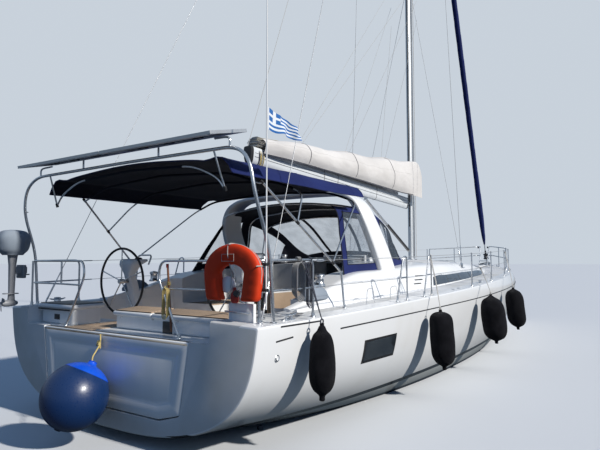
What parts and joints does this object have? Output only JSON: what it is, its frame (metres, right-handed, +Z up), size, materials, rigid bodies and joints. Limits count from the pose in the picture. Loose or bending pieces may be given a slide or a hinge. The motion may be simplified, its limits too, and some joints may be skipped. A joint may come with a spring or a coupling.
{
  "type": "sailing yacht",
  "caption": "Cruising sailing yacht afloat, with twin wheels and rudders, fin keel, stowed mainsail on the boom, furled headsail, sprayhood, bimini and solar arch.",
  "frame": {"origin": "on the centreline, amidships (7.70 m forward of the transom), at the waterline", "axes": "+X forward, +Y to port, +Z up"},
  "size_m": [16.865, 5.1943, 23.22],
  "materials": {
    "gelcoat": "white polished gelcoat, slightly weathered",
    "antifouling": "matt dark blue bottom paint",
    "keel_iron": "cast iron under matt dark blue bottom paint",
    "stainless": "polished stainless tube and wire",
    "aluminium": "satin anodised spars",
    "bronze": "dull bronze",
    "wheel_leather": "black stitched cover over a steel rim",
    "teak": "weathered laid teak with dark caulking",
    "smoked_acrylic": "dark smoked acrylic",
    "clear_vinyl": "clear flexible window sheet",
    "canvas": "navy woven acrylic canvas",
    "bag_cloth": "light grey woven sail cover cloth",
    "lifebuoy_cover": "orange coated fabric over foam",
    "fender_cover": "black knitted fender sock",
    "ball_vinyl": "blue inflated vinyl, scuffed",
    "solar_glass": "dark cells under glass in an aluminium frame",
    "engine_cover": "grey-blue engine cover cloth",
    "flag_cloth": "blue and white striped bunting",
    "black_paint": "black anodised or painted fittings",
    "rope": "braided polyester rope"
  },
  "bodies": {
    "root": {"hull": "gelcoat", "coachroof": "gelcoat", "keel": "keel_iron", "saildrive_leg": "antifouling", "aft_bench": "gelcoat", "helm_seat": "gelcoat", "pedestal_starboard": "gelcoat", "pedestal_port": "gelcoat", "cockpit_table": "gelcoat", "washboard": "smoked_acrylic", "hatch_garage": "gelcoat", "arch": "gelcoat", "sprayhood": "canvas", "bimini_canopy": "canvas", "bimini_frame": "stainless", "solar_arch": "stainless", "solar_panel": "solar_glass", "pushpit_starboard": "stainless", "guardrail_starboard": "stainless", "pushpit_port": "stainless", "guardrail_port": "stainless", "pulpit": "stainless", "mast": "aluminium", "shrouds_starboard": "stainless", "backstay_starboard": "stainless", "shrouds_port": "stainless", "backstay_port": "stainless", "stem_fitting": "stainless", "anchor": "stainless", "lifebuoy": "lifebuoy_cover", "fender_1": "fender_cover", "fender_2": "fender_cover", "fender_3": "fender_cover", "fender_4": "fender_cover", "outboard": "engine_cover", "flag_staff": "gelcoat", "flag": "flag_cloth"},
    "steering_wheel_starboard": {"wheel_starboard": "wheel_leather"},
    "steering_wheel_port": {"wheel_port": "wheel_leather"},
    "rudder_blade_starboard": {"rudder_starboard": "antifouling"},
    "rudder_blade_port": {"rudder_port": "antifouling"},
    "screw": {"propeller": "bronze"},
    "platform": {"transom_platform": "gelcoat"},
    "ball": {"ball_fender": "ball_vinyl"},
    "leaf_starboard": {"table_leaf_starboard": "teak"},
    "leaf_port": {"table_leaf_port": "teak"},
    "sliding_hatch": {"companion_hatch": "smoked_acrylic"},
    "hatch_saloon": {"saloon_hatch": "smoked_acrylic"},
    "hatch_fore": {"fore_hatch": "smoked_acrylic"},
    "locker_lid": {"anchor_locker_lid": "gelcoat"},
    "drum_quarter_starboard": {"winch_quarter_starboard": "stainless"},
    "drum_quarter_port": {"winch_quarter_port": "stainless"},
    "drum_roof_starboard": {"winch_roof_starboard": "stainless"},
    "drum_roof_port": {"winch_roof_port": "stainless"},
    "headsail": {"furled_genoa": "canvas"},
    "boom_rig": {"boom": "aluminium", "sail_bag": "bag_cloth", "vang": "black_paint"}
  },
  "joints": [
    {"name": "steer_starboard", "type": "hinge", "parent": "root", "child": "steering_wheel_starboard", "pos_m": [-6.75, -1.06, 1.745], "axis": [1, 0, 0], "range_deg": [-396, 396]},
    {"name": "steer_port", "type": "hinge", "parent": "root", "child": "steering_wheel_port", "pos_m": [-6.75, 1.06, 1.745], "axis": [1, 0, 0], "range_deg": [-397, 397]},
    {"name": "rudder_starboard_turn", "type": "hinge", "parent": "root", "child": "rudder_blade_starboard", "pos_m": [-6.45, -1.23, 0], "axis": [0, 0.1564, 0.9877], "range_deg": [-33.5, 33.5]},
    {"name": "rudder_port_turn", "type": "hinge", "parent": "root", "child": "rudder_blade_port", "pos_m": [-6.45, 1.23, 0], "axis": [0, -0.1564, 0.9877], "range_deg": [-33.5, 33.5]},
    {"name": "propeller_spin", "type": "hinge", "parent": "root", "child": "screw", "pos_m": [-3.52, 0, -0.93], "axis": [1, 0, 0], "continuous": true},
    {"name": "platform_fold", "type": "hinge", "parent": "root", "child": "platform", "pos_m": [-7.698, 0, 0.35], "axis": [0, -1, 0], "range_deg": [0, 90]},
    {"name": "ball_hang", "type": "hinge", "parent": "platform", "child": "ball", "pos_m": [-7.71, 0.03, 1.19], "axis": [0, -1, 0], "range_deg": [-90.5, 0.5]},
    {"name": "leaf_starboard_fold", "type": "hinge", "parent": "root", "child": "leaf_starboard", "pos_m": [-4.275, -0.153, 1.529], "axis": [-1, 0, 0], "range_deg": [0, 90]},
    {"name": "leaf_port_fold", "type": "hinge", "parent": "root", "child": "leaf_port", "pos_m": [-4.275, 0.153, 1.529], "axis": [1, 0, 0], "range_deg": [0, 90]},
    {"name": "companion_slide", "type": "slide", "parent": "root", "child": "sliding_hatch", "axis": [1, 0, 0], "range_m": [0, 0.62]},
    {"name": "saloon_hatch_lift", "type": "hinge", "parent": "root", "child": "hatch_saloon", "pos_m": [-0.2, 0, 2.084], "axis": [0, 1, 0], "range_deg": [0, 80]},
    {"name": "fore_hatch_lift", "type": "hinge", "parent": "root", "child": "hatch_fore", "pos_m": [3.65, 0, 2.032], "axis": [0, 1, 0], "range_deg": [0, 80]},
    {"name": "locker_lid_lift", "type": "hinge", "parent": "root", "child": "locker_lid", "pos_m": [5.94, 0, 1.855], "axis": [0, -1, 0], "range_deg": [0, 85]},
    {"name": "winch_quarter_starboard_spin", "type": "hinge", "parent": "root", "child": "drum_quarter_starboard", "pos_m": [-5.7, -1.605, 1.75], "axis": [0, 0, 1], "continuous": true},
    {"name": "winch_quarter_port_spin", "type": "hinge", "parent": "root", "child": "drum_quarter_port", "pos_m": [-5.7, 1.605, 1.75], "axis": [0, 0, 1], "continuous": true},
    {"name": "winch_roof_starboard_spin", "type": "hinge", "parent": "root", "child": "drum_roof_starboard", "pos_m": [-2.7, -1.15, 2.05], "axis": [0, 0, 1], "continuous": true},
    {"name": "winch_roof_port_spin", "type": "hinge", "parent": "root", "child": "drum_roof_port", "pos_m": [-2.7, 1.15, 2.05], "axis": [0, 0, 1], "continuous": true},
    {"name": "headsail_furl", "type": "hinge", "parent": "root", "child": "headsail", "pos_m": [7.94, 0, 2.01], "axis": [-0.3427, 0, 0.9395], "continuous": true},
    {"name": "boom_swing", "type": "hinge", "parent": "root", "child": "boom_rig", "pos_m": [1.02, 0, 3.5], "axis": [0, 0, 1], "range_deg": [-54, 54]}
  ],
  "couplings": [
    {"joint": "steer_port", "follows": "steer_starboard", "ratio": 1},
    {"joint": "rudder_starboard_turn", "follows": "steer_starboard", "ratio": 0.083333},
    {"joint": "rudder_port_turn", "follows": "steer_starboard", "ratio": 0.083333},
    {"joint": "ball_hang", "follows": "platform_fold", "ratio": -1}
  ]
}
